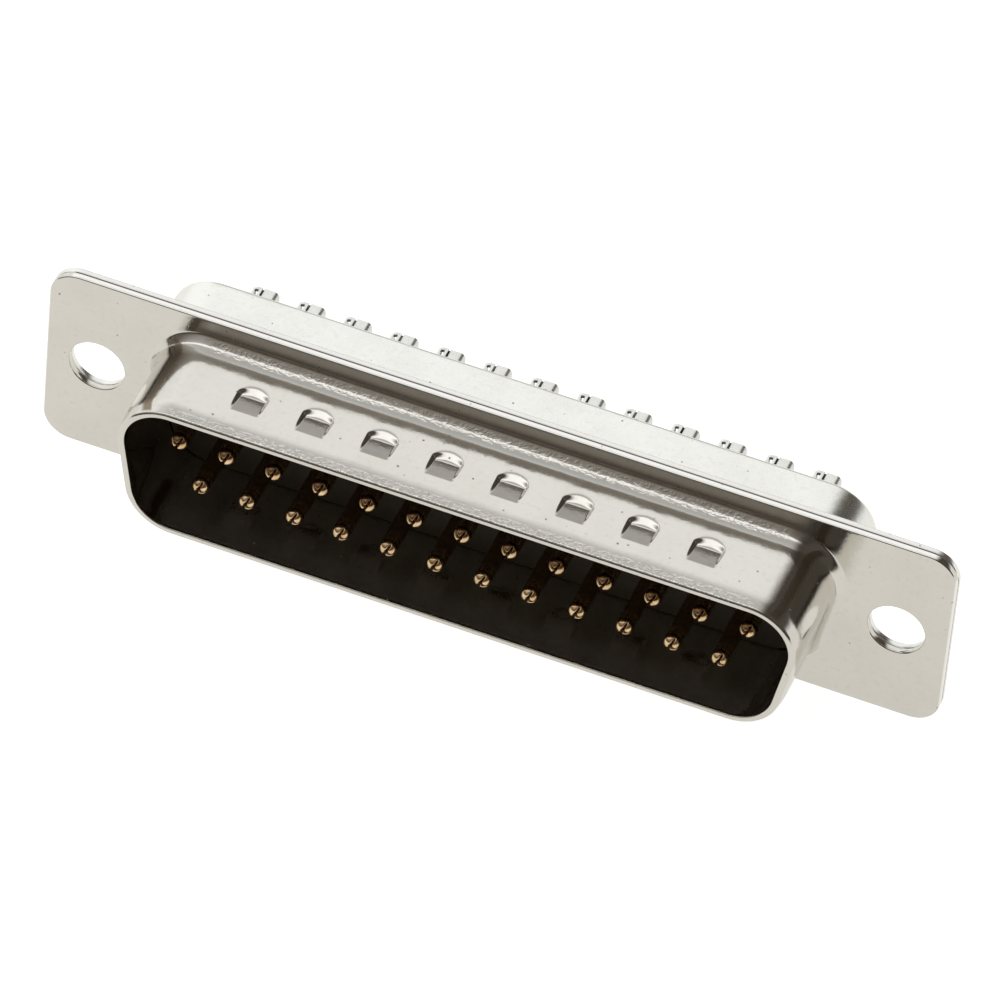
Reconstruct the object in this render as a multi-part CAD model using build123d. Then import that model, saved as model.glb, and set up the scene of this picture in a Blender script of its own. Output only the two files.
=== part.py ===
from build123d import *
from math import cos, radians, sin
import os

# A 25-way D-shaped plug connector with solder cups.
# X runs along the connector, Y from the mating side (-Y) to the wire side (+Y), and Z up,
# with the 13-contact row on top. The origin is midway between the two flange holes, on the
# front face of the flange. All sizes are in millimetres.

# Contact field
pin_pitch = 2.77
row_spacing = 2.84
upper_row_count = 13

# Mating shell: the drawn D of the front shell, measured inside
pin_to_side_wall = 2.86
pin_to_long_wall = 2.76
mating_corner_radius = 2.6
side_slant = 10.0
mating_depth = 6.1
front_sheet = 0.4
front_root_bevel = 0.4
mouth_bevel = 0.3
nose_length = 1.1
nose_taper = 4.5
nose_bevel = 0.16

# Grounding dimples, pressed inwards along both long walls of the mating shell
dimple_count = 8
dimple_pitch = 3.8
dimple_width = 1.7
dimple_length = 1.75
dimple_depth = 0.28
dimple_from_flange = 2.45
dimple_corner_bevel = 0.38
dimple_wall = 0.22

# Flange and its two mounting holes
hole_diameter = 3.3
hole_to_mating_side = 4.04
hole_to_flange_end = 3.0
flange_land = 2.02
flange_corner_radius = 1.7

# Rear shell: a drawn cup with its floor pierced, so that a lip is left round the opening
rear_sheet = 0.4
rear_depth = 3.4
rear_corner_radius = 2.5
rear_root_bevel = 0.3
rear_edge_bevel = 0.3
rear_lip = 1.0

# Insulator, moulded in two halves that hold the contacts between them
shoulder_overhang_side = 0.8
shoulder_overhang_long = 0.57
shoulder_fit = 0.05
plug_fit = 0.06
stack_fit = 0.05
opening_fit = 0.08
insulator_proud = 0.3
front_insulator_shoulder = 1.5
rear_insulator_proud = 0.6

# Contacts
pin_diameter = 1.0
pin_length = 4.85
pin_sides = 12
pin_shoulder_length = 0.3
pin_shoulder_taper = 15.0
pin_point_length = 0.2
pin_point_taper = 45.0
pin_hole_fit = 0.03
stop_width = 2.0
stop_height = 0.9
stop_thickness = 0.5
stop_fit = 0.05
cup_width = 1.6
cup_height = 1.3
cup_corner_bevel = 0.3
cup_wall = 0.2
cup_length = 2.75
cup_bore_from_face = 0.25
cup_hole_fit = 0.05
cup_seam_width = 0.16
cup_seam_offset = 0.1
cup_strap_length = 0.45

# Sizes that follow from those above
lower_row_count = upper_row_count - 1
upper_row_z = row_spacing / 2
lower_row_z = -row_spacing / 2
outer_pin_x = (upper_row_count - 1) * pin_pitch / 2
mating_half_width = outer_pin_x + pin_to_side_wall
mating_half_height = row_spacing / 2 + pin_to_long_wall
hole_x = mating_half_width + hole_to_mating_side
flange_half_length = hole_x + hole_to_flange_end
flange_half_height = mating_half_height + flange_land
flange_back_y = front_sheet + rear_sheet
rear_inner_half_width = mating_half_width + shoulder_overhang_side + shoulder_fit
rear_inner_half_height = mating_half_height + shoulder_overhang_long + shoulder_fit
rear_end_y = flange_back_y + rear_depth
lip_front_y = rear_end_y - rear_sheet
parting_y = front_sheet + front_insulator_shoulder
rear_face_y = rear_end_y + rear_insulator_proud
pin_tip_y = -insulator_proud - pin_length
stop_front_y = parting_y - stop_thickness
cup_centre_z = cup_height / 2 - pin_diameter / 2
cup_end_y = rear_face_y + cup_length


def d_outline(half_width, half_height, corner_radius):
    """Face of the D with its wide side up; half_width is taken at its widest place."""
    slant = radians(side_slant)
    corner_x = half_width - corner_radius
    corner_z = half_height - corner_radius
    side_reach = corner_x * cos(slant) - corner_z * sin(slant) + corner_radius
    top_x = (side_reach + half_height * sin(slant)) / cos(slant)
    bottom_x = (side_reach - half_height * sin(slant)) / cos(slant)
    corners = Polyline(
        (-top_x, half_height),
        (top_x, half_height),
        (bottom_x, -half_height),
        (-bottom_x, -half_height),
        close=True,
    )
    face = make_face(corners)
    return fillet(face.vertices(), corner_radius)


def prism(outline, front_y, back_y):
    """Solid with one outline in X and Z, from one depth to another."""
    return extrude(Plane.XZ.offset(-back_y) * outline, back_y - front_y)


def flare(outline, back_y, length, taper):
    """Solid that starts from an outline and narrows forwards, or backwards where its length is negative.

    A negative taper widens it instead.
    """
    return extrude(Plane.XZ.offset(-back_y) * outline, length, taper=taper)


def flange_plate(front_y, back_y):
    """One flange plate with its two mounting holes."""
    outline = RectangleRounded(2 * flange_half_length, 2 * flange_half_height, flange_corner_radius)
    holes = Locations((-hole_x, 0), (hole_x, 0)) * Circle(hole_diameter / 2)
    return prism(outline - holes, front_y, back_y)


def dimple_wedge(width, rear_y, surface_z, depth, corner_bevel):
    """Ramp that starts flush at its front end and is deepest at its rear, with cut rear corners."""
    front_y = -dimple_from_flange - dimple_length
    cover = front_sheet / 2
    side = Polyline(
        (front_y, surface_z),
        (rear_y, surface_z - depth),
        (rear_y, surface_z + cover),
        (front_y, surface_z + cover),
        close=True,
    )
    wedge = extrude(Plane.YZ * make_face(side), width / 2, both=True)
    rear_corners = wedge.edges().filter_by(Axis.Z).group_by(Axis.Y)[-1]
    return chamfer(rear_corners, corner_bevel)


def front_shell():
    """Flange plate with the D drawn forwards out of it, and the dimples pressed into the D."""
    outer = d_outline(
        mating_half_width + front_sheet,
        mating_half_height + front_sheet,
        mating_corner_radius + front_sheet,
    )
    inner = d_outline(mating_half_width, mating_half_height, mating_corner_radius)
    nose_start_y = nose_length - mating_depth
    wall = prism(outer, nose_start_y, -front_root_bevel)
    root = flare(outer, -front_root_bevel, -front_root_bevel, -45)
    nose = flare(outer, nose_start_y, nose_length - nose_bevel, nose_taper)
    rim = extrude(nose.faces().sort_by(Axis.Y)[0], nose_bevel, taper=45)
    mouth = d_outline(
        mating_half_width + mouth_bevel,
        mating_half_height + mouth_bevel,
        mating_corner_radius + mouth_bevel,
    )
    shell = flange_plate(0, front_sheet) + root + wall + nose + rim
    shell -= prism(inner, -mating_depth, front_sheet)
    shell -= flare(mouth, front_sheet, mouth_bevel, 45)

    pressed = dimple_wedge(
        dimple_width,
        -dimple_from_flange,
        mating_half_height + front_sheet,
        dimple_depth,
        dimple_corner_bevel,
    )
    raised = dimple_wedge(
        dimple_width + 2 * dimple_wall,
        dimple_wall - dimple_from_flange,
        mating_half_height,
        dimple_depth,
        dimple_corner_bevel + dimple_wall,
    )
    for place in GridLocations(dimple_pitch, 1, dimple_count, 1):
        for long_wall in (Rot(0, 0, 0), Rot(0, 180, 0)):
            shell = shell + long_wall * place * raised - long_wall * place * pressed
    return shell


def rear_shell():
    """Flange plate with a shallow D-shaped cup drawn backwards, its floor pierced to a lip."""
    outer = d_outline(
        rear_inner_half_width + rear_sheet,
        rear_inner_half_height + rear_sheet,
        rear_corner_radius + rear_sheet,
    )
    inner = d_outline(rear_inner_half_width, rear_inner_half_height, rear_corner_radius)
    opening = d_outline(
        rear_inner_half_width - rear_lip,
        rear_inner_half_height - rear_lip,
        rear_corner_radius - rear_lip,
    )
    edge = d_outline(
        rear_inner_half_width + rear_sheet - rear_edge_bevel,
        rear_inner_half_height + rear_sheet - rear_edge_bevel,
        rear_corner_radius + rear_sheet - rear_edge_bevel,
    )
    wall_end_y = rear_end_y - rear_edge_bevel
    shell = flange_plate(front_sheet, flange_back_y) + prism(outer, front_sheet, wall_end_y)
    shell += flare(outer, flange_back_y + rear_root_bevel, rear_root_bevel, -45)
    shell += flare(edge, rear_end_y, rear_edge_bevel, -45)
    shell -= prism(inner, front_sheet, lip_front_y)
    shell -= prism(opening, lip_front_y, rear_end_y)
    return shell


def contact_places():
    """X and Z of every contact in the order of their numbers, and the side its cup opens to."""
    upper = [(pin_pitch * i - outer_pin_x, upper_row_z, 1) for i in range(upper_row_count)]
    first_lower_x = pin_pitch / 2 - outer_pin_x
    lower = [(first_lower_x + pin_pitch * i, lower_row_z, -1) for i in range(lower_row_count)]
    return upper + lower


def at_contact(x, z, side):
    """Place of a contact, turned over for the lower row so that its cup opens downwards."""
    return Pos(x, 0, z) * Rot(0, 90 - 90 * side, 0)


def front_insulator():
    """Front half: the D plug that fills the mating shell, and the shoulder behind it."""
    plug = d_outline(
        mating_half_width - plug_fit,
        mating_half_height - plug_fit,
        mating_corner_radius - plug_fit,
    )
    shoulder = d_outline(
        rear_inner_half_width - shoulder_fit,
        rear_inner_half_height - shoulder_fit,
        rear_corner_radius - shoulder_fit,
    )
    body = prism(plug, -insulator_proud, front_sheet) + prism(shoulder, front_sheet, parting_y)
    pin_hole = prism(pin_outline(pin_hole_fit), -insulator_proud, parting_y)
    stop_seat = prism(stop_outline(stop_fit), stop_front_y, parting_y)
    hole = pin_hole + stop_seat
    return body - [at_contact(*place) * hole for place in contact_places()]


def pin_outline(grow):
    """Section of a pin, with few sides because it is repeated so often, grown by a clearance."""
    return RegularPolygon(pin_diameter / 2 + grow, pin_sides)


def stop_outline(grow):
    """The two wings of a contact that the insulator halves hold between them."""
    return Rectangle(stop_width + 2 * grow, stop_height + 2 * grow)


def cup_outline(grow):
    """Outside of the rolled solder cup, level at its base with the pin, grown or shrunk evenly."""
    block = Rectangle(cup_width, cup_height)
    rolled = chamfer(block.vertices(), cup_corner_bevel)
    return Pos(0, cup_centre_z) * offset(rolled, grow, kind=Kind.INTERSECTION)


def rear_insulator():
    """Rear half: a shoulder behind the lip of the rear shell, and a boss through its opening."""
    shoulder = d_outline(
        rear_inner_half_width - shoulder_fit,
        rear_inner_half_height - shoulder_fit,
        rear_corner_radius - shoulder_fit,
    )
    boss_inset = rear_lip + opening_fit
    boss = d_outline(
        rear_inner_half_width - boss_inset,
        rear_inner_half_height - boss_inset,
        rear_corner_radius - boss_inset,
    )
    body = prism(shoulder, parting_y, lip_front_y - stack_fit) + prism(boss, parting_y, rear_face_y)
    hole = prism(cup_outline(cup_hole_fit), parting_y, rear_face_y)
    return body - [at_contact(*place) * hole for place in contact_places()]


def contact():
    """Stamped contact on the Y axis: bullet-nosed pin, stop wings, and rolled solder cup."""
    shoulder_y = pin_tip_y + pin_point_length + pin_shoulder_length
    stem = prism(pin_outline(0), shoulder_y, parting_y)
    shoulder = extrude(
        Plane.XZ.offset(-shoulder_y) * pin_outline(0), pin_shoulder_length, taper=pin_shoulder_taper
    )
    shoulder_end = shoulder.faces().sort_by(Axis.Y)[0]
    point = extrude(shoulder_end, pin_point_length, taper=pin_point_taper)
    stop = prism(stop_outline(0), stop_front_y, parting_y)

    bore_front_y = rear_face_y + cup_bore_from_face
    roof_z = cup_centre_z + cup_height / 2
    seam = Pos(-cup_seam_offset, roof_z) * Rectangle(cup_seam_width, 2 * cup_wall)
    window_left = cup_wall - cup_width / 2
    window_width = -cup_seam_offset - window_left
    window = Pos(window_left + window_width / 2, roof_z) * Rectangle(window_width, 2 * cup_wall)
    cup = prism(cup_outline(0), parting_y, cup_end_y)
    cup -= prism(cup_outline(-cup_wall), bore_front_y, cup_end_y)
    cup -= prism(seam, bore_front_y, cup_end_y)
    cup -= prism(window, bore_front_y, cup_end_y - cup_strap_length)
    return stem + shoulder + point + stop + cup


pieces = {
    "front_shell": front_shell(),
    "rear_shell": rear_shell(),
    "front_insulator": front_insulator(),
    "rear_insulator": rear_insulator(),
}
one_contact = contact()
for number, place in enumerate(contact_places(), start=1):
    pieces[f"contact_{number:02d}"] = at_contact(*place) * one_contact

os.makedirs("parts", exist_ok=True)
for name, piece in pieces.items():
    export_step(piece, f"parts/{name}.step")
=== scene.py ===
import math

import bmesh
import bpy
import numpy as np
from mathutils import Matrix, Vector, noise


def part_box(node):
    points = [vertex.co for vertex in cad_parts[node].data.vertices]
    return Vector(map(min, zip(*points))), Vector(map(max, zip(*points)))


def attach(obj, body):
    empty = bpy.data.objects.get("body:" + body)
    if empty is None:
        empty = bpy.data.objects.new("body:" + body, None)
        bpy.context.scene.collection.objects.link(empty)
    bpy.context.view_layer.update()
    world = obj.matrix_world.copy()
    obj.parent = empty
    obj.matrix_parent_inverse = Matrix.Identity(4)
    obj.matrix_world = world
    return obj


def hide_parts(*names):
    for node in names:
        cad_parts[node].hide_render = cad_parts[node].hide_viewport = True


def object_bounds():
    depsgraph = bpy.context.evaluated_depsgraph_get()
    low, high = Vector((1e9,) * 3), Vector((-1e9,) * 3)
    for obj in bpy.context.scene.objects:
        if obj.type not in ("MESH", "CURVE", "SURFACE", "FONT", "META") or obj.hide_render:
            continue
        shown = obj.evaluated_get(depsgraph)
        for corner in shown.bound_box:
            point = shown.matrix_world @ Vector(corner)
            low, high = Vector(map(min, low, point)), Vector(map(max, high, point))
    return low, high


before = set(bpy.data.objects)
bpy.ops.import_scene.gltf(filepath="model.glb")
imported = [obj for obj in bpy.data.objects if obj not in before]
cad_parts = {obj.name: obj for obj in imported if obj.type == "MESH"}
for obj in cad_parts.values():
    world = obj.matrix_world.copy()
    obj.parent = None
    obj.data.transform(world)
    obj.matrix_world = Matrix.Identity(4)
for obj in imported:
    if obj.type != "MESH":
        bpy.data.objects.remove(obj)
cad_low, cad_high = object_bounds()

# Front shell: one piece of 0.4 mm steel sheet. The D that the socket slides into is drawn forwards out
# of the flange plate, eight grounding dimples are pressed into each long wall, two mounting holes are
# punched, and the whole is plated with bright nickel. Sizes here are in millimetres.
mm = 0.001
shell_low, shell_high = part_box("front_shell")
front_sheet = shell_high.y / mm
mating_depth = -shell_low.y / mm
flange_half_length = shell_high.x / mm
flange_half_height = shell_high.z / mm
flange_corner_radius = 1.7
flange_edge_round = 0.08
flange_burr_round = 0.05
support = 0.12
hole_x = 23.52
hole_radius = 1.65
hole_edge_round = 0.09
side_slant = math.radians(10)
mating_half_width = 19.48
mating_half_height = 4.18
mating_corner_radius = 2.6
root_radius = 0.33
straight_from = 1.9
straight_to = 4.95
# Tilt of the drawn wall's outside, as pairs of a distance from the flange and degrees towards the axis.
wall_bend = ((0.1, 50), (0.28, 43), (0.38, 37), (0.44, 28), (0.49, 20), (0.58, 16.5), (0.74, 13),
             (0.88, 10), (0.97, 7.5), (1.03, 5), (1.1, 2.2), (1.2, 0.5), (1.35, -0.5), (1.7, -0.8),
             (straight_from, 0), (straight_to, 0), (5.2, 3), (5.5, 8), (5.95, 9))
tight_bend_end = 0.64
bend_end = 1.35
rim_round = 0.18
rim_inner_round = 0.06
mouth_round = 0.3
dimple_count = 8
dimple_pitch = 3.8
dimple_shift = 0.05
dimple_width = 1.66
dimple_rear = 2.05
dimple_arch = 0.5
dimple_foot = 2.8
dimple_front = 4.27
dimple_depth = 0.24
dimple_side_run = 0.24
dimple_ridge = 0.008
dimple_ridge_reach = 0.35
least_rear_wall = 0.1
waviness = 0.009
wave_length = 4.0
wave_squeeze = 1.5
pressed_from = 0.3
pressed_fade_in = 0.7
pressed_fade_out = 0.5


class Outline:
    """A closed line in X and Z, with the way outwards at each of its points."""

    def __init__(self, points, outward):
        self.points = np.array(points, float)
        self.outward = np.array(outward, float)

    def ring(self, bm, grow, depth):
        """Vertices of the line grown outwards and laid at one depth in Y."""
        places = self.points + self.outward * np.reshape(grow, (-1, 1))
        return [bm.verts.new((x * mm, depth * mm, z * mm)) for x, z in places]


def arc(centre, radius, start, end, steps):
    """Points on an arc between two angles in degrees, with both ends."""
    angles = np.radians(np.linspace(start, end, steps + 1))
    return [(centre[0] + radius * math.cos(a), centre[1] + radius * math.sin(a)) for a in angles]


def d_outline(half_width, half_height, corner_radius, stops, arc_steps=18, side_steps=8):
    """The D with its wide side up; stops are the places in X where its long walls have points."""
    slant = math.degrees(side_slant)
    least_gap = 0.05
    upper = (half_width - corner_radius, half_height - corner_radius)
    lower = (upper[0] - 2 * upper[1] * math.tan(side_slant), -upper[1])
    points, outward = [], []

    def turn(centre, start, end):
        for x, z in arc((0, 0), 1, start, end, arc_steps):
            points.append((centre[0] + corner_radius * x, centre[1] + corner_radius * z))
            outward.append((x, z))

    def run(start, end, steps, way):
        for share in np.linspace(0, 1, steps + 1)[1:-1]:
            points.append(tuple(np.array(start) * (1 - share) + np.array(end) * share))
            outward.append(way)

    top = [x for x in stops if abs(x) < upper[0] - least_gap]
    bottom = [x for x in stops if abs(x) < lower[0] - least_gap]
    points += [(x, half_height) for x in top]
    outward += [(0, 1)] * len(top)
    turn(upper, 90, -slant)
    side_way = (math.cos(side_slant), -math.sin(side_slant))
    side_top = np.array(upper) + corner_radius * np.array(side_way)
    side_bottom = np.array(lower) + corner_radius * np.array(side_way)
    run(side_top, side_bottom, side_steps, side_way)
    turn(lower, -slant, -90)
    points += [(x, -half_height) for x in reversed(bottom)]
    outward += [(0, -1)] * len(bottom)
    mirror = np.array((-1, 1))
    turn(lower * mirror, -90, -180 + slant)
    run(side_bottom * mirror, side_top * mirror, side_steps, tuple(side_way * mirror))
    turn(upper * mirror, 180 + slant, 90)
    return Outline(points, outward)


def rounded_rectangle(half_length, half_height, radius, arc_steps=12, long_steps=24, short_steps=6):
    """Outline of the flange."""
    centre_x, centre_z = half_length - radius, half_height - radius
    points, outward = [], []
    quarters = ((1, 1, 90, 0), (1, -1, 0, -90), (-1, -1, -90, -180), (-1, 1, 180, 90))
    for side_x, side_z, start, end in quarters:
        for x, z in arc((0, 0), 1, start, end, arc_steps):
            points.append((side_x * centre_x + radius * x, side_z * centre_z + radius * z))
            outward.append((x, z))
        steps = short_steps if side_x == side_z else long_steps
        nearer = np.array((side_x, -side_z) if side_x == side_z else (-side_x, side_z))
        start_point = np.array(points[-1])
        way = outward[-1]
        end_point = nearer * (centre_x, centre_z) + radius * np.array(way)
        for share in np.linspace(0, 1, steps + 1)[1:-1]:
            points.append(tuple(start_point * (1 - share) + end_point * share))
            outward.append(way)
    return Outline(points, outward)


def circle(centre_x, radius, steps=64):
    """Outline of a round hole."""
    ways = arc((0, 0), 1, 0, 360, steps)[:-1]
    return Outline([(centre_x + radius * x, radius * z) for x, z in ways], ways)


def sweep(bm, outline, profile, shift=None):
    """Walls through one ring for each (growth, depth) of a profile; returns the first and last ring."""
    rings = []
    for grow, depth in profile:
        moved = 0 if shift is None else shift(outline, grow, depth)
        rings.append(outline.ring(bm, grow + moved, depth))
    for near, far in zip(rings, rings[1:]):
        for i in range(len(near)):
            bm.faces.new((near[i - 1], near[i], far[i], far[i - 1]))
    return rings[0], rings[-1]


def fill(bm, rings):
    """Flat face between closed rings, with the inner ones as holes."""
    edges = [bm.edges.get((ring[i - 1], ring[i])) for ring in rings for i in range(len(ring))]
    bmesh.ops.triangle_fill(bm, use_beauty=True, use_dissolve=False, edges=edges, normal=(0, -1, 0))


def finished(bm, name, smooth_below=50):
    """Object from a closed mesh, facing outwards, smooth but for its sharp edges."""
    bmesh.ops.remove_doubles(bm, verts=bm.verts, dist=1e-8)
    bmesh.ops.recalc_face_normals(bm, faces=bm.faces)
    for face in bm.faces:
        face.smooth = True
    for edge in bm.edges:
        edge.smooth = len(edge.link_faces) == 2 and edge.calc_face_angle() < math.radians(smooth_below)
    mesh = bpy.data.meshes.new(name)
    bm.to_mesh(mesh)
    bm.free()
    piece = bpy.data.objects.new(name, mesh)
    bpy.context.scene.collection.objects.link(piece)
    return piece


def edge_profile(front, back, front_round, back_round, way, steps=5):
    """Section of a sheet's cut edge; way is 1 where the metal lies inside the line and -1 round a hole."""
    front_arc = arc((-front_round, front + front_round), front_round, -90, 0, steps)
    back_arc = arc((-back_round, back - back_round), back_round, 0, 90, steps)
    section = [(-front_round - support, front), *front_arc, *back_arc, (-back_round - support, back)]
    return [(way * grow, depth) for grow, depth in section]


def dimple_stops():
    """Places in X along a long wall, close together where a dimple's side walls are."""
    side = dimple_width / 2
    near_side, inner_side, last_stop = 0.16, 0.25, 16.6
    close = np.linspace(side - near_side, side + near_side, 9)
    one = np.concatenate([-close[::-1], np.linspace(inner_side - side, side - inner_side, 9), close])
    middles = dimple_middles()
    between = (middles[1:] + middles[:-1]) / 2
    ends = np.linspace(middles[-1] + dimple_pitch / 2, last_stop, 8)
    every = np.concatenate([(middles[:, None] + one).ravel(), between, ends, -ends])
    return sorted(set(np.round(every, 4)))


def dimple_middles():
    """Places in X of the dimples."""
    return (np.arange(dimple_count) - (dimple_count - 1) / 2) * dimple_pitch + dimple_shift


def smooth_step(value):
    """Eases from 0 to 1 as value goes from 0 to 1."""
    value = np.clip(value, 0, 1)
    return value * value * (3 - 2 * value)


def pressed(outline, grow, depth):
    """How far the drawn wall's sheet is moved outwards at one ring: in at dimples, and a little wavy."""
    x = outline.points[:, 0]
    long_wall = np.isclose(np.abs(outline.outward[:, 1]), 1)
    along = -depth
    middles = dimple_middles()
    off_middle = np.abs(x - middles[np.abs(x[:, None] - middles).argmin(1)])
    rear = dimple_rear + dimple_arch * (2 * off_middle / dimple_width) ** 2
    rear = np.minimum(rear, dimple_foot - least_rear_wall)
    rear_wall = smooth_step((along - rear) / (dimple_foot - rear))
    ramp = np.clip((dimple_front - along) / (dimple_front - dimple_foot), 0, 1)
    side_wall = smooth_step((dimple_width / 2 - off_middle) / dimple_side_run + 0.5)
    hollow = dimple_depth * np.minimum(rear_wall, ramp) * side_wall
    behind = np.hypot(np.maximum(off_middle - dimple_width / 2, 0), along - rear + dimple_ridge_reach)
    ridge = dimple_ridge * np.exp(-(behind / dimple_ridge_reach) ** 2)
    fade = smooth_step((along - pressed_from) / pressed_fade_in)
    fade = fade * smooth_step((straight_to + pressed_fade_out - along) / pressed_fade_out)
    wave = [noise.noise(Vector((px, depth * wave_squeeze, pz)) / wave_length) for px, pz in outline.points]
    return fade * (waviness * np.array(wave) + np.where(long_wall, ridge - hollow, 0))


def stations(start, *stretches):
    """Distances along a wall, through stretches that are given by their end and their number of steps."""
    places = [start]
    for end, steps in stretches:
        places.extend(np.linspace(places[-1], end, steps + 1)[1:])
    return np.array(places)


def front_wall_profile():
    """Section of the drawn D, from the flange's front round the rim and back along its inside."""
    distances, tilts = zip(*wall_bend)
    steepest, rim_tilt = math.radians(tilts[0]), math.radians(tilts[-1])
    rim_start = mating_depth - rim_round * (1 - math.sin(rim_tilt))
    ring_gap, clear, ramp_end, inner_rim = 0.03, 0.1, 0.15, 0.3
    before_dimple, behind_foot, past_dimple = dimple_rear - clear, dimple_foot + clear, dimple_front + clear
    wall = stations(tight_bend_end, (bend_end, 14), (before_dimple, 4), (behind_foot, 20),
                    (dimple_front - ramp_end, 5), (past_dimple, 5), (straight_to, 2), (rim_start, 11))
    along = np.concatenate([np.arange(distances[0], tight_bend_end, ring_gap), wall])
    slopes = np.tan(np.radians(np.interp(along, distances, tilts)))
    fall = np.concatenate([[0], np.cumsum((slopes[1:] + slopes[:-1]) / 2 * np.diff(along))])
    rise = np.interp(straight_from, along, fall) - fall
    root = (front_sheet + rise[0] + root_radius * math.cos(steepest), -root_radius)
    foot = arc(root, root_radius, 90, 180 - tilts[0], 6)
    lift = foot[-1][1] + along[0]
    section = [(root[0] + support, 0), *foot]
    section += [(front_sheet + up, lift - distance) for up, distance in zip(rise[1:], along[1:])]
    rim_grow = section[-1][0] - rim_round * math.cos(rim_tilt)
    section += arc((rim_grow, rim_round - mating_depth), rim_round, -tilts[-1], -90, 8)[1:]
    rim_corner = (rise[-1] + rim_inner_round, rim_inner_round - mating_depth)
    section += arc(rim_corner, rim_inner_round, -90, -180, 4)
    inner = stations(mating_depth - inner_rim, (straight_to, 4), (past_dimple, 1), (behind_foot, 4),
                     (before_dimple, 8), (0, 3))
    section += [(min(0, np.interp(distance, along, rise)) if distance > straight_to else 0, -distance)
                for distance in inner]
    back = arc((mouth_round, front_sheet - mouth_round), mouth_round, 180, 90, 6)
    return section + back + [(mouth_round + support, front_sheet)]


def flange_edges(bm, front, back):
    """Rings of one flange plate's outer edge and its two holes: those at its front and at its back."""
    outer = rounded_rectangle(flange_half_length, flange_half_height, flange_corner_radius)
    edge = edge_profile(front, back, flange_edge_round, flange_burr_round, 1)
    hole_edge = edge_profile(front, back, hole_edge_round, flange_burr_round, -1)
    rings = [sweep(bm, outer, edge)]
    rings += [sweep(bm, circle(side * hole_x, hole_radius), hole_edge) for side in (-1, 1)]
    return [front_ring for front_ring, _ in rings], [back_ring for _, back_ring in rings]


bm = bmesh.new()
mating_d = d_outline(mating_half_width, mating_half_height, mating_corner_radius, dimple_stops())
wall_front, wall_back = sweep(bm, mating_d, front_wall_profile(), pressed)
front_rings, back_rings = flange_edges(bm, 0, front_sheet)
fill(bm, [wall_front, *front_rings])
fill(bm, [wall_back, *back_rings])
front_shell = finished(bm, "front_shell_drawn")


class Value:
    """A value in a node tree: arithmetic on it adds Math nodes."""

    def __init__(self, nodes, socket):
        self.nodes = nodes
        self.socket = socket

    def math(self, operation, *others):
        inputs = dict(enumerate((self, *others)))
        return self.nodes.add("ShaderNodeMath", {"operation": operation}, inputs)

    def __add__(self, other):
        return self.math("ADD", other)

    def __sub__(self, other):
        return self.math("SUBTRACT", other)

    def __mul__(self, other):
        return self.math("MULTIPLY", other)

    def __truediv__(self, other):
        return self.math("DIVIDE", other)

    def __pow__(self, other):
        return self.math("POWER", other)

    def __rsub__(self, other):
        return self.nodes.add("ShaderNodeMath", {"operation": "SUBTRACT"}, {0: other, 1: self})

    __radd__ = __add__
    __rmul__ = __mul__

    def eased(self, low, high):
        """0 below low and 1 above high, or the reverse where high is the smaller."""
        limits = {"Value": self, "From Min": low, "From Max": high}
        return self.nodes.add("ShaderNodeMapRange", {"interpolation_type": "SMOOTHSTEP"}, limits)


class Nodes:
    """Adds nodes to the node tree of a material or of the world."""

    def __init__(self, owner):
        owner.use_nodes = True
        self.tree = owner.node_tree
        self.tree.nodes.clear()

    def add(self, kind, settings=None, inputs=None, output=0):
        """One node with its settings, and the values or links of its inputs; returns one of its outputs."""
        node = self.tree.nodes.new(kind)
        for name, setting in (settings or {}).items():
            if name == "stops":
                ramp = node.color_ramp
                while len(ramp.elements) < len(setting):
                    ramp.elements.new(1)
                for element, (position, colour) in zip(ramp.elements, setting):
                    element.position = position
                    element.color = (*colour, 1)
            else:
                setattr(node, name, setting)
        for name, value in (inputs or {}).items():
            socket = node.inputs[name] if isinstance(name, int) else self.named(node.inputs, name)
            if isinstance(value, Value):
                self.tree.links.new(value.socket, socket)
            elif socket.type == "RGBA" and len(value) == 3:
                socket.default_value = (*value, 1)
            else:
                socket.default_value = value
        if not node.outputs:
            return None
        wanted = node.outputs[output] if isinstance(output, int) else self.named(node.outputs, output)
        return Value(self, wanted)

    @staticmethod
    def named(sockets, name):
        """The first socket with that identifier or name."""
        return next(s for s in sockets if name in (s.identifier, s.name))

    def mixed(self, share, first, second):
        """Colour that goes from the first to the second as share goes from 0 to 1."""
        inputs = {"Factor_Float": share, "A_Color": first, "B_Color": second}
        return self.add("ShaderNodeMix", {"data_type": "RGBA"}, inputs, "Result_Color")

    def place(self):
        """The point on the piece, in millimetres."""
        coordinates = self.add("ShaderNodeTexCoord", output="Object")
        return self.add("ShaderNodeVectorMath", {"operation": "SCALE"}, {0: coordinates, "Scale": 1 / mm})

    def axes(self, vector):
        """X, Y and Z of a vector."""
        return [self.add("ShaderNodeSeparateXYZ", {}, {"Vector": vector}, axis) for axis in "XYZ"]

    def noise(self, place, per_mm, detail=3, roughness=0.5):
        """Soft noise from 0 to 1 with so many cells to the millimetre."""
        inputs = {"Vector": place, "Scale": per_mm, "Detail": detail, "Roughness": roughness}
        return self.add("ShaderNodeTexNoise", {}, inputs)

    def cells(self, place, per_mm, output):
        """Distance to the middle of the nearest of scattered cells, or that cell's own colour."""
        inputs = {"Vector": place, "Scale": per_mm, "Randomness": 1.0}
        return self.add("ShaderNodeTexVoronoi", {"feature": "F1"}, inputs, output)

    def stretched(self, place, scale):
        """The same place with each axis multiplied."""
        return self.add("ShaderNodeVectorMath", {"operation": "MULTIPLY"}, {0: place, 1: scale})

    def bump(self, height, distance_mm, normal=None):
        """Normal from a height of 0 to 1 that stands so many millimetres."""
        inputs = {"Height": height, "Distance": distance_mm * mm, "Strength": 1.0}
        if normal:
            inputs["Normal"] = normal
        return self.add("ShaderNodeBump", {}, inputs)


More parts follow.
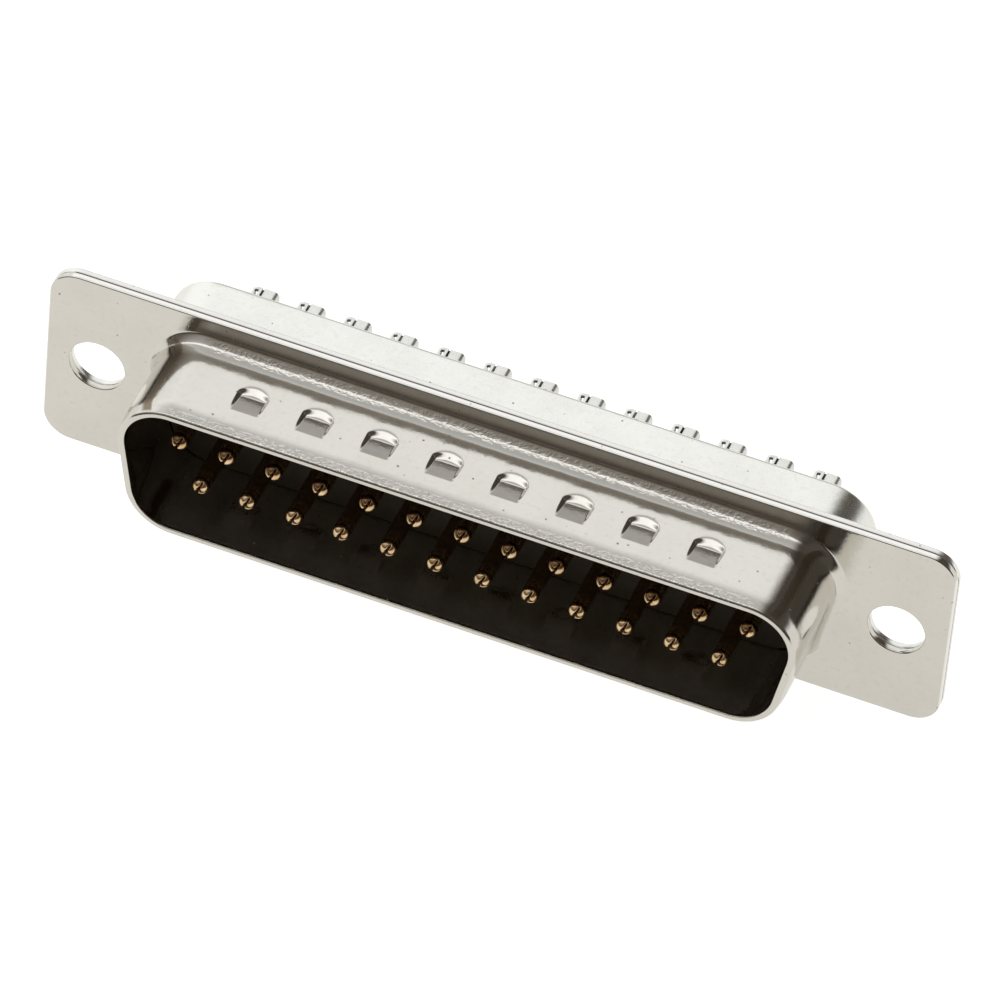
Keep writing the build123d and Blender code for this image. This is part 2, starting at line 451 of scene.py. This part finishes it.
nickel = (0.745, 0.725, 0.685)
nickel_stain = (0.58, 0.55, 0.48)
cloud_stain = 0.12
streak_stain = 0.06
fine_cloud_stain = 0.22
cloud_roughness = 0.03
grain_roughness = 0.05
grain_height = 0.0014
pit_dirt = (0.16, 0.14, 0.12)
least_dirt = 0.15
dirt_spread = 0.5
pits_per_mm = 1.7
unpitted_share = 0.45
pit_reach = 0.13
pit_edge = 0.02
pit_depth = 0.012
pit_roughness = 0.3
# Painted highlight: the flange's cut edges are given a lighter colour.
edge_painted_highlight = (0.93, 0.92, 0.9)
edge_highlight_start = 0.1
edge_highlight_full = 0.04
seam_shadow = (0.1, 0.09, 0.08)
seam_darkness = 0.85
seam_reach = 0.075
seam_core = 0.03
# Painted shade: colour for the inside of the D under its roof.
roof_painted_shade = (0.26, 0.2, 0.13)
dull_roughness = 0.22
crystals_per_mm = 9.0
crystal_height = 0.015
stretched_depths = ((-0.2, -0.55), (-5.62, -5.95))


def plating(name, base, stain, rough, peel, stretched_at=(), painted_shade_inside=0):
    """Bright nickel over rolled steel: faint clouds, streaks, orange peel and tiny dark pits.

    Its cut edges are painted lighter, a painted highlight. Where drawing has stretched the long walls,
    between the depths given in pairs, it sparkles finely. Inside the D it is rougher, and painted shade
    colours it dull brown under the roof.
    """
    material = bpy.data.materials.new(name)
    nodes = Nodes(material)
    place = nodes.place()
    across, depth, height = nodes.axes(place)
    roof = height.eased(0, 1)
    across, height = across.math("ABSOLUTE"), height.math("ABSOLUTE")
    cloud = nodes.noise(place, per_mm=0.35, detail=4)
    fine_cloud = nodes.noise(place, per_mm=2.6, detail=4, roughness=0.6)
    streak = nodes.noise(nodes.stretched(place, (0.5, 6, 6)), per_mm=1.0, detail=4)
    grain = nodes.noise(place, per_mm=7, detail=4, roughness=0.6)
    to_pit = nodes.cells(place, pits_per_mm, "Distance") / pits_per_mm
    cell_colour = nodes.cells(place, pits_per_mm, "Color")
    cell_size, cell_dirt = (nodes.add("ShaderNodeSeparateColor", {}, {"Color": cell_colour}, part)
                            for part in ("Red", "Green"))
    pit = (to_pit - (cell_size - unpitted_share) * pit_reach).eased(pit_edge, -pit_edge)
    shade = cloud.eased(0.35, 0.75) * cloud_stain + streak.eased(0.45, 0.8) * streak_stain
    shade = shade + fine_cloud.eased(0.5, 0.75) * fine_cloud_stain
    colour = nodes.mixed(shade, base, stain)
    colour = nodes.mixed(pit * (least_dirt + cell_dirt * dirt_spread), colour, pit_dirt)
    cut = height.eased(flange_half_height - edge_highlight_start, flange_half_height - edge_highlight_full)
    ends = across.eased(flange_half_length - edge_highlight_start, flange_half_length - edge_highlight_full)
    cut = cut.math("MAXIMUM", ends)
    seam = (depth - front_sheet).math("ABSOLUTE").eased(seam_reach, seam_core) * cut
    # Painted highlight on the cut edges.
    colour = nodes.mixed(cut, colour, edge_painted_highlight)
    colour = nodes.mixed(seam * seam_darkness, colour, seam_shadow)
    roughness = rough + cloud.eased(0.3, 0.8) * cloud_roughness
    roughness = roughness + grain.eased(0.35, 0.75) * grain_roughness + pit * pit_roughness
    if painted_shade_inside:
        inside = height.eased(mating_half_height - 0.3, mating_half_height - 0.1)
        inside = inside * height.eased(mating_half_height + 0.12, mating_half_height + 0.06)
        inside = inside * depth.eased(0.1 - mating_depth, 0.3 - mating_depth) * depth.eased(-0.1, -0.3)
        # Painted shade inside the D under its roof.
        colour = nodes.mixed(inside * roof * painted_shade_inside, colour, roof_painted_shade)
        roughness = roughness + inside * dull_roughness
    normal = nodes.bump(nodes.noise(place, per_mm=1.1, detail=2), peel)
    normal = nodes.bump(fine_cloud, peel * 0.5, normal)
    if stretched_at:
        stretched = 0
        for near, far in stretched_at:
            stretched = depth.eased(near + 0.12, near) * depth.eased(far - 0.2, far) + stretched
        stretched = stretched * across.eased(mating_half_width - 2, mating_half_width - 3)
        crystals = nodes.cells(place, crystals_per_mm, "Distance")
        patch = nodes.noise(place, per_mm=4, detail=2).eased(0.4, 0.62)
        crystals = crystals * patch * stretched
        normal = nodes.bump(crystals, crystal_height, normal)
    normal = nodes.bump(grain, grain_height, normal)
    normal = nodes.bump(1 - pit, pit_depth, normal)
    shader = nodes.add("ShaderNodeBsdfPrincipled", {}, {
        "Base Color": colour, "Metallic": 1.0, "Roughness": roughness, "Normal": normal})
    nodes.add("ShaderNodeOutputMaterial", {}, {"Surface": shader})
    return material


def carried(piece, slot, *nodes):
    """The piece moves with the one body, and stands for the nodes named."""
    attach(piece, "root")
    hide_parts(*nodes)


front_plating = plating("bright_nickel_front", nickel, nickel_stain, rough=0.1, peel=0.007,
                        stretched_at=stretched_depths, painted_shade_inside=0.85)
front_shell.data.materials.append(front_plating)
carried(front_shell, "shell_plating", "front_shell")

# Rear shell: a second plate of the same outline and holes, lying flat on the back of the first, with a
# shallow D-shaped cup drawn backwards. A lip round its opening holds the insulator in. It is the same
# plated steel, where fine specks show, given a lighter colour than the front shell's: painted light that
# brightens its top.
rear_low, rear_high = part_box("rear_shell")
rear_front = rear_low.y / mm
rear_end = rear_high.y / mm
rear_sheet = 0.4
rear_back = rear_front + rear_sheet
rear_half_width = 20.33
rear_half_height = 4.8
rear_corner_radius = 2.5
rear_root_round = 0.35
rear_edge_round = 0.36
rear_mouth_round = 0.2
rear_lip = 1.0
lip_round = 0.05
lip_corner = 0.12
rear_stop_reach = 17.4
rear_stop_count = 59
# Painted light: the rear shell's nickel and stain are lighter than the front shell's, for the same plating.
rear_nickel_painted_lighter = (0.97, 0.97, 0.945)
rear_stain_painted_lighter = (0.72, 0.715, 0.68)


def rear_wall_profile():
    """Section of the rear cup: in at its mouth, round the lip, and back along its outside."""
    lip_front = rear_end - rear_sheet
    section = [(rear_mouth_round + support, rear_front)]
    section += arc((rear_mouth_round, rear_front + rear_mouth_round), rear_mouth_round, -90, -180, 4)
    section += [(0, (rear_front + lip_front) / 2)]
    section += arc((-lip_corner, lip_front - lip_corner), lip_corner, 0, 90, 4)
    section += [(-rear_lip / 2, lip_front)]
    section += arc((lip_round - rear_lip, lip_front + lip_round), lip_round, -90, -180, 3)
    section += arc((lip_round - rear_lip, rear_end - lip_round), lip_round, 180, 90, 3)
    section += [(-rear_lip / 2, rear_end)]
    section += arc((rear_sheet - rear_edge_round, rear_end - rear_edge_round), rear_edge_round, 90, 0, 9)
    top_of_root = rear_back + rear_root_round
    for depth in np.linspace(rear_end - rear_edge_round, top_of_root, 10)[1:-1]:
        section.append((rear_sheet, depth))
    section += arc((rear_sheet + rear_root_round, top_of_root), rear_root_round, 180, 270, 8)
    return section + [(rear_sheet + rear_root_round + support, rear_back)]


def rear_waves(outline, grow, depth):
    """The drawn wall's slight waviness, on its outside only."""
    still, slack, apart = 0.3, 0.05, 40
    if grow < rear_sheet - slack or not rear_back + still <= depth <= rear_end - still:
        return 0
    wave = [noise.noise(Vector((x, depth, z + apart)) / wave_length) for x, z in outline.points]
    return waviness * np.array(wave)


bm = bmesh.new()
rear_stops = np.linspace(-rear_stop_reach, rear_stop_reach, rear_stop_count)
rear_d = d_outline(rear_half_width, rear_half_height, rear_corner_radius, rear_stops, 16, 6)
wall_front, wall_back = sweep(bm, rear_d, rear_wall_profile(), rear_waves)
front_rings, back_rings = flange_edges(bm, rear_front, rear_back)
fill(bm, [wall_front, *front_rings])
fill(bm, [wall_back, *back_rings])
rear_shell = finished(bm, "rear_shell_drawn")
rear_plating = plating("bright_nickel_rear", rear_nickel_painted_lighter, rear_stain_painted_lighter, rough=0.22, peel=0.01)
rear_shell.data.materials.append(rear_plating)
carried(rear_shell, "shell_plating", "rear_shell")


# Insulator: two mouldings of black glass-filled polyester that hold the contacts between them. The
# front one closes the floor of the mating shell; the rear one shows round the solder cups. They are
# the frame's own solids, with the fine satin skin of a moulding.
moulded_black = (0.078, 0.069, 0.053)
flow_mark_black = (0.092, 0.081, 0.063)
satin_roughness = 0.42
satin_grain_roughness = 0.12
satin_grain_height = 0.002


def black_moulding(name):
    """Black plastic with a fine moulded grain and faint flow marks."""
    material = bpy.data.materials.new(name)
    nodes = Nodes(material)
    place = nodes.place()
    flow = nodes.noise(nodes.stretched(place, (0.3, 1, 1)), per_mm=0.6)
    grain = nodes.noise(place, per_mm=14)
    colour = nodes.mixed(flow.eased(0.3, 0.8), moulded_black, flow_mark_black)
    roughness = satin_roughness + grain.eased(0.3, 0.8) * satin_grain_roughness
    normal = nodes.bump(grain, satin_grain_height)
    shader = nodes.add("ShaderNodeBsdfPrincipled", {}, {
        "Base Color": colour, "Roughness": roughness, "Normal": normal, "Specular IOR Level": 0.3})
    nodes.add("ShaderNodeOutputMaterial", {}, {"Surface": shader})
    return material


moulding = black_moulding("black_polyester")
for name in ("front_insulator", "rear_insulator"):
    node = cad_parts[name]
    node.data.materials.clear()
    node.data.materials.append(moulding)


# Contacts: 25 stamped and rolled brass strips, 13 above and 12 below. Each has a round pin with a
# slotted, domed nose, flashed with gold, two wings that the insulator holds, and a rolled solder cup,
# bright with tin, with its seam and window on the side away from the other row.
contact_low, contact_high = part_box("contact_01")
pin_pitch = 2.77
row_spacing = 2.84
upper_count = 13
pin_radius = 0.5
pin_front = contact_low.y / mm
pin_nose = 0.4
pin_sides = 40
slots = ((66, 0.22), (249, 0.2), (146, 0.15))
slot_width = 0.06
slot_fade_power = 6
nose_hollow = 0.1
nose_hollow_radius = 0.12
wing_width = 2.0
wing_height = 0.9
wing_front = 1.4
wing_back = 1.9
shaft_rings = (-2.0, 0.5, wing_back)
cup_width = 1.6
cup_height = 1.3
cup_base = -0.5
cup_wall = 0.2
cup_corner = 0.34
cup_inner_corner = 0.1
cup_bore_front = 5.05
cup_end = contact_high.y / mm
cup_seam_width = 0.13
cup_seam_depth = 0.15
cup_seam_x = -0.14
cup_window = (-0.6, -0.37)
cup_strap = 0.22
cup_edge_round = 0.035
turn_spread = math.radians(1.2)
contact_seed = 7


def pin(bm):
    """Round pin, closed at its hidden end, with a domed nose parted by slots at angles in degrees."""
    rings = []
    nose_steps = 16
    for step in range(1, nose_steps + 1):
        share = math.sin(step / nose_steps * math.pi / 2)
        radius = pin_radius * share
        ring = []
        for i in range(pin_sides * 2):
            angle = math.pi * i / pin_sides
            dome = pin_nose * (1 - math.sqrt(1 - min(share, 1) ** 2))
            groove = 0
            for turn, slot_depth in slots:
                off = angle - math.radians(turn)
                sideways = radius * (abs(math.sin(off)) if math.cos(off) > 0 else 1)
                groove = max(groove, slot_depth * math.exp(-(sideways / slot_width) ** 2))
            hollow = nose_hollow * math.exp(-(radius / nose_hollow_radius) ** 2)
            fade = 1 - share**slot_fade_power
            deep = dome + fade * (groove + hollow)
            point = (radius * math.cos(angle), pin_front + deep, radius * math.sin(angle))
            ring.append(bm.verts.new([size * mm for size in point]))
        rings.append(ring)
    for depth in shaft_rings:
        ring = [bm.verts.new((v.co.x, depth * mm, v.co.z)) for v in rings[-1]]
        rings.append(ring)
    middle = bm.verts.new((0, (pin_front + slots[0][1] + nose_hollow) * mm, 0))
    for i in range(pin_sides * 2):
        bm.faces.new((middle, rings[0][i - 1], rings[0][i]))
        for near, far in zip(rings, rings[1:]):
            bm.faces.new((near[i - 1], near[i], far[i], far[i - 1]))
    bm.faces.new(rings[-1])


def block(name, low, high, corner=0.0, arc_steps=1):
    """Bar along Y between two corners of a box, with its four long edges rounded."""
    bm = bmesh.new()
    middle_x, middle_z = (low[0] + high[0]) / 2, (low[2] + high[2]) / 2
    half_x, half_z = (high[0] - low[0]) / 2, (high[2] - low[2]) / 2
    if corner:
        outline = rounded_rectangle(half_x, half_z, corner, arc_steps, 4, 4)
    else:
        corners = [(half_x, half_z), (half_x, -half_z), (-half_x, -half_z), (-half_x, half_z)]
        outline = Outline(corners, np.zeros((4, 2)))
    outline.points += (middle_x, middle_z)
    front, back = sweep(bm, outline, [(0, low[1]), (0, high[1])])
    bm.faces.new(front)
    bm.faces.new(back)
    return finished(bm, name)


def combined(piece, other, operation):
    """Joins a second solid to a piece or cuts it out, and removes the second."""
    modifier = piece.modifiers.new("combine", "BOOLEAN")
    modifier.object = other
    modifier.operation = operation
    modifier.solver = "EXACT"
    evaluated = piece.evaluated_get(bpy.context.evaluated_depsgraph_get())
    piece.data = bpy.data.meshes.new_from_object(evaluated)
    piece.modifiers.clear()
    bpy.data.objects.remove(other)
    return piece


def solder_cup():
    """Squarish rolled tube with the seam where its edges meet in its roof, and a window beside it."""
    low_x, high_x = -cup_width / 2, cup_width / 2
    top = cup_base + cup_height
    over, under, sharp = 0.4, 0.1, math.radians(40)
    cup = block("cup", (low_x, wing_back, cup_base), (high_x, cup_end, top), cup_corner, 8)
    bore = block("bore", (low_x + cup_wall, cup_bore_front, cup_base + cup_wall),
                 (high_x - cup_wall, cup_end + over, top - cup_wall), cup_inner_corner, 5)
    combined(cup, bore, "DIFFERENCE")
    seam = block("seam", (cup_seam_x - cup_seam_width / 2, cup_bore_front, top - cup_seam_depth),
                 (cup_seam_x + cup_seam_width / 2, cup_end + over, top + over))
    combined(cup, seam, "DIFFERENCE")
    window = block("window", (cup_window[0], cup_bore_front, top - cup_wall - under),
                   (cup_window[1], cup_end - cup_strap, top + over))
    combined(cup, window, "DIFFERENCE")
    bevel = cup.modifiers.new("softened edges", "BEVEL")
    bevel.width = cup_edge_round * mm
    bevel.segments = 2
    bevel.limit_method = "ANGLE"
    bevel.angle_limit = sharp
    evaluated = cup.evaluated_get(bpy.context.evaluated_depsgraph_get())
    cup.data = bpy.data.meshes.new_from_object(evaluated)
    cup.modifiers.clear()
    return cup


bm = bmesh.new()
pin(bm)
one_contact = finished(bm, "one_contact")
wings = block("wings", (-wing_width / 2, wing_front, -wing_height / 2),
              (wing_width / 2, wing_back, wing_height / 2))
combined(one_contact, wings, "UNION")
combined(one_contact, solder_cup(), "UNION")


def rows_of_contacts():
    """Node tree that sets one contact on both rows, the lower row turned over."""
    tree = bpy.data.node_groups.new("rows_of_contacts", "GeometryNodeTree")
    ids = {}
    wanted = {"Contact": "Object", "Pitch": "Float", "Row spacing": "Float", "Upper count": "Int",
              "Turn spread": "Float", "Seed": "Int", "Plating": "Material"}
    for name, kind in wanted.items():
        socket = tree.interface.new_socket(name, in_out="INPUT", socket_type=f"NodeSocket{kind}")
        ids[name] = socket.identifier
    tree.interface.new_socket("Geometry", in_out="OUTPUT", socket_type="NodeSocketGeometry")
    given = tree.nodes.new("NodeGroupInput").outputs

    def node(kind, settings, **inputs):
        """Adds a node; its inputs are given by their names, with _ for a space."""
        made = tree.nodes.new(kind)
        for name, setting in settings.items():
            setattr(made, name, setting)
        for name, value in inputs.items():
            socket = next(s for s in made.inputs if s.enabled and s.name.replace(" ", "_") == name)
            if isinstance(value, bpy.types.NodeSocket):
                tree.links.new(value, socket)
            else:
                socket.default_value = value
        return next(s for s in made.outputs if s.enabled)

    def maths(operation, first, second):
        """Adds a Math node on two numbers or links."""
        made = tree.nodes.new("ShaderNodeMath")
        made.operation = operation
        for socket, value in zip(made.inputs, (first, second)):
            if isinstance(value, bpy.types.NodeSocket):
                tree.links.new(value, socket)
            else:
                socket.default_value = value
        return made.outputs[0]

    contact = node("GeometryNodeObjectInfo", {}, Object=given["Contact"])
    contact = next(s for s in contact.node.outputs if s.name == "Geometry")
    joined = tree.nodes.new("GeometryNodeJoinGeometry")
    for fewer, side, turn in ((0, 0.5, 0.0), (1, -0.5, math.pi)):
        count = maths("SUBTRACT", given["Upper count"], fewer)
        half = maths("MULTIPLY", maths("SUBTRACT", count, 1), -0.5)
        start = node("ShaderNodeCombineXYZ", {}, X=maths("MULTIPLY", half, given["Pitch"]),
                     Z=maths("MULTIPLY", given["Row spacing"], side))
        step = node("ShaderNodeCombineXYZ", {}, X=given["Pitch"])
        line = node("GeometryNodeMeshLine", {}, Count=count, Start_Location=start, Offset=step)
        spread = node("FunctionNodeRandomValue", {"data_type": "FLOAT"},
                      Min=maths("MULTIPLY", given["Turn spread"], -1), Max=given["Turn spread"],
                      Seed=maths("ADD", given["Seed"], fewer))
        rotation = node("ShaderNodeCombineXYZ", {}, Y=maths("ADD", spread, turn))
        row = node("GeometryNodeInstanceOnPoints", {}, Points=line, Instance=contact, Rotation=rotation)
        tree.links.new(row, joined.inputs[0])
    real = node("GeometryNodeRealizeInstances", {}, Geometry=joined.outputs[0])
    plated = node("GeometryNodeSetMaterial", {}, Geometry=real, Material=given["Plating"])
    out = tree.nodes.new("NodeGroupOutput")
    tree.links.new(plated, out.inputs[0])
    return tree, ids


gold_flash = (0.93, 0.72, 0.46)
gold_cloud = (0.68, 0.43, 0.2)
# Painted shade: brown down the pin's shaft, deep in the shell.
shaft_painted_shade = (0.2, 0.12, 0.07)
# Painted shade: brown on top of the upper row's noses, under the shell's roof.
nose_painted_shade = (0.2, 0.08, 0.03)
# Painted shade: dark brown in the slots of the pin noses.
slot_painted_shade = (0.1, 0.035, 0.01)
bright_tin = (0.98, 0.98, 0.96)
tin_cloud = (0.90, 0.90, 0.87)
# Painted shade: dark down the solder cup's bore and in its seam.
bore_painted_shade = (0.05, 0.045, 0.04)
gold_roughness = 0.14
tin_roughness = 0.24
bore_roughness = 0.4
shaft_roughness = 0.2
contact_grain_roughness = 0.08
contact_grain_height = 0.001


def gold_and_tin():
    """Gold flash on the pin and tin on the cup, with painted shade: brown in the pin's slots and down its
    shaft, and dark down the cup's bore and seam.

    The noses of the upper row have painted shade on top, where they lie under the roof of the shell.
    """
    material = bpy.data.materials.new("gold_flash_and_tin")
    nodes = Nodes(material)
    place = nodes.place()
    across, depth, height = nodes.axes(place)
    lower = height.math("LESS_THAN", 0)
    pitches = across / pin_pitch + lower * 0.5
    beside = (pitches - pitches.math("ROUND")) * pin_pitch * (1 - lower * 2)
    above = height.math("ABSOLUTE") - (row_spacing / 2 + cup_base + cup_height / 2)
    half_width, half_height = cup_width / 2 - cup_wall, cup_height / 2 - cup_wall
    off_middle = beside * beside + (height.math("ABSOLUTE") - row_spacing / 2) ** 2
    dome = (1 - (1 - off_middle / pin_radius**2).math("MAXIMUM", 0) ** 0.5) * pin_nose
    slot = (depth - pin_front - dome).eased(0.03, 0.13) * depth.eased(pin_front + 0.6, pin_front + 0.5)
    off_seam = (beside - cup_seam_x).math("ABSOLUTE")
    bore = beside.math("ABSOLUTE").eased(half_width + 0.01, half_width - 0.02)
    bore = bore * above.math("ABSOLUTE").eased(half_height + 0.01, half_height - 0.02)
    seam = off_seam.eased(cup_seam_width / 2 + 0.01, cup_seam_width / 2 - 0.02)
    seam = seam * above.eased(cup_height / 2 - 0.01, cup_height / 2 - 0.05)
    bore = bore.math("MAXIMUM", seam) * depth.eased(cup_bore_front - 0.3, cup_bore_front)
    tinned = depth.eased(1.0, 3.0)
    shaft = depth.eased(pin_front + 0.5, pin_front + 1.4)
    cloud = nodes.noise(place, per_mm=3)
    grain = nodes.noise(place, per_mm=18)
    gold = nodes.mixed(cloud.eased(0.3, 0.8), gold_flash, gold_cloud)
    shaded = (height - row_spacing / 2).eased(0.0, 0.22) * depth.eased(pin_front + 0.6, pin_front + 0.4)
    # Painted shade down the shaft.
    gold = nodes.mixed(shaft * 0.75, gold, shaft_painted_shade)
    # Painted shade on top of the upper noses.
    gold = nodes.mixed(shaded * 0.7, gold, nose_painted_shade)
    # Painted shade in the nose slots.
    gold = nodes.mixed(slot * 0.9, gold, slot_painted_shade)
    tin = nodes.mixed(cloud.eased(0.3, 0.8), bright_tin, tin_cloud)
    # Painted shade down the bore and seam.
    tin = nodes.mixed(bore, tin, bore_painted_shade)
    colour = nodes.mixed(tinned, gold, tin)
    roughness = gold_roughness + tinned * (tin_roughness - gold_roughness) + bore * bore_roughness
    roughness = roughness + shaft * (1 - tinned) * shaft_roughness
    roughness = roughness + grain.eased(0.3, 0.8) * contact_grain_roughness
    normal = nodes.bump(grain, contact_grain_height)
    shader = nodes.add("ShaderNodeBsdfPrincipled", {}, {
        "Base Color": colour, "Metallic": 1 - tinned * 0.2, "Roughness": roughness, "Normal": normal})
    nodes.add("ShaderNodeOutputMaterial", {}, {"Surface": shader})
    return material


contact_plating = gold_and_tin()
row_tree, row_inputs = rows_of_contacts()
rows = bpy.data.objects.new("rows", bpy.data.meshes.new("rows"))
bpy.context.scene.collection.objects.link(rows)
modifier = rows.modifiers.new("rows_of_contacts", "NODES")
modifier.node_group = row_tree
for name, value in (("Contact", one_contact), ("Pitch", pin_pitch * mm), ("Row spacing", row_spacing * mm),
                    ("Upper count", upper_count), ("Turn spread", turn_spread), ("Seed", contact_seed),
                    ("Plating", contact_plating)):
    modifier[row_inputs[name]] = value
evaluated = rows.evaluated_get(bpy.context.evaluated_depsgraph_get())
contacts = bpy.data.objects.new("contacts_25", bpy.data.meshes.new_from_object(evaluated))
bpy.context.scene.collection.objects.link(contacts)
bpy.data.objects.remove(rows)
bpy.data.objects.remove(one_contact)
carried(contacts, "contact_gold", *[f"contact_{number:02d}" for number in range(1, 2 * upper_count)])

# Floor: a plain white sheet that the connector stands on. It keeps the soft shadow, and for the
# camera and for reflections it is as bright as the paper in a photographer's light tent. The tent is
# open in front, so that reflections see the paper end in the dark a little way before the connector.
floor_half = 1.5
floor_gap = 0.02 * mm
paper_dims_from = -20
paper_ends = -48
paper_white = (0.9, 0.9, 0.89)
paper_mirrored = (0.28, 0.28, 0.27)
dark_mirrored = (0.05, 0.04, 0.03)
mirrored_tint = (1, 0.985, 0.93)
mirrored_glow = 0.74
paper_glow = 0.84
floor_mesh = bpy.data.meshes.new("floor")
floor_z = cad_low.z - floor_gap
floor_corners = ((-1, -1), (1, -1), (1, 1), (-1, 1))
floor_points = [(x * floor_half, y * floor_half, floor_z) for x, y in floor_corners]
floor_mesh.from_pydata(floor_points, [], [(0, 1, 2, 3)])
floor = bpy.data.objects.new("floor", floor_mesh)
bpy.context.scene.collection.objects.link(floor)
paper = bpy.data.materials.new("white_paper")
nodes = Nodes(paper)
camera_ray, glossy_ray, clear_ray = (nodes.add("ShaderNodeLightPath", output=f"Is {kind} Ray")
                                     for kind in ("Camera", "Glossy", "Transmission"))
across = nodes.add("ShaderNodeSeparateXYZ", {}, {"Vector": nodes.place()}, "Y")
in_tent = across.eased(paper_ends, paper_dims_from)
mirrored_dark = glossy_ray * (1 - in_tent)
mirrored = nodes.mixed(mirrored_dark, paper_mirrored, dark_mirrored)
colour = nodes.mixed(glossy_ray, paper_white, mirrored)
lit = nodes.add("ShaderNodeBsdfDiffuse", {}, {"Color": colour})
glow = (camera_ray + clear_ray) * paper_glow + glossy_ray * in_tent * mirrored_glow
glow_colour = nodes.mixed(glossy_ray, (1, 1, 1), mirrored_tint)
glowing = nodes.add("ShaderNodeEmission", {}, {"Color": glow_colour, "Strength": glow})
sheet = nodes.add("ShaderNodeAddShader", {}, {0: lit, 1: glowing})
nodes.add("ShaderNodeOutputMaterial", {}, {"Surface": sheet})
floor_mesh.materials.append(paper)

# Light: a tent with one large soft window above and behind, a narrow strip overhead and white cloth
# low at the left and the back. It is dark brown at the right and in front, where the camera stands,
# and the nickel mirrors that. The arch of light is given by degrees from the horizon behind.
arch_of_light = ((0, 0.6), (14, 0.5), (20, 0.4), (29, 0.4), (37, 0.88), (43, 0.98), (49, 0.96),
                 (56, 0.78), (62, 0.6), (68, 0.5), (81, 0.48), (86, 1.25), (102, 1.25), (116, 0.25),
                 (135, 0.13), (160, 0.05))
brightest = max(level for _, level in arch_of_light)
left_cloth_level = 0.9
right_cloth_level = 0.8
front_left_level = 0.2
room_level = 0.03
side_room_level = 0.05
room_brown = (1, 0.87, 0.73)
cloth_white = (1, 1, 0.98)
world = bpy.data.worlds.new("light_tent")
bpy.context.scene.world = world
nodes = Nodes(world)
way = nodes.add("ShaderNodeTexCoord", output="Generated")
right, back, up = nodes.axes(way)
stops = [(degrees / 180, (level / brightest,) * 3) for degrees, level in arch_of_light]
half_turns = up.math("ARCTAN2", back) / math.pi
arch = nodes.add("ShaderNodeValToRGB", {"stops": stops}, {"Fac": half_turns}) * brightest
middle = right.eased(0.37, 0.04)
left_cloth = right.eased(-0.3, -0.5) * back.eased(0.1, 0.4) * up.eased(0.8, 0.65) * left_cloth_level
right_cloth = right.eased(0.3, 0.6) * back.eased(0.1, 0.4) * up.eased(0.34, 0.12) * right_cloth_level
front_left = right.eased(0.1, -0.5) * back.eased(0, -0.4) * up.eased(0.15, 0.65) * front_left_level
room = room_level + right.math("ABSOLUTE").eased(0.2, 0.5) * side_room_level
tent = (arch * middle).math("MAXIMUM", left_cloth).math("MAXIMUM", right_cloth) + front_left + room
camera_ray = nodes.add("ShaderNodeLightPath", output="Is Camera Ray")
tint = nodes.mixed(tent.eased(0.05, 0.55), room_brown, cloth_white)
seen = nodes.mixed(camera_ray, tint, (1, 1, 1))
strength = tent.math("MAXIMUM", camera_ray)
backdrop = nodes.add("ShaderNodeBackground", {}, {"Color": seen, "Strength": strength})
nodes.add("ShaderNodeOutputWorld", {}, {"Surface": backdrop})

# Camera: a long lens from the right and above, rolled a little, as the photograph was taken.
camera_bearing = math.radians(17.585)
camera_height = math.radians(44.982)
camera_roll = math.radians(5.63)
camera_distance = 0.59093
camera_lens = 389.67
camera_film = 36
aim = Vector((0.418, 0.040, -0.087)) * mm
camera_data = bpy.data.cameras.new("camera")
camera_data.lens = camera_lens
camera_data.sensor_width = camera_film
camera = bpy.data.objects.new("camera", camera_data)
bpy.context.scene.collection.objects.link(camera)
towards = Vector((math.sin(camera_bearing) * math.cos(camera_height),
                  -math.cos(camera_bearing) * math.cos(camera_height), math.sin(camera_height)))
camera.location = aim + towards * camera_distance
turned = towards.to_track_quat("Z", "Y").to_matrix() @ Matrix.Rotation(camera_roll, 3, "Z")
camera.rotation_euler = turned.to_euler()
camera_data.clip_start = 0.01
camera_data.clip_end = 10
bpy.context.scene.camera = camera
bpy.context.scene.view_settings.view_transform = "Standard"
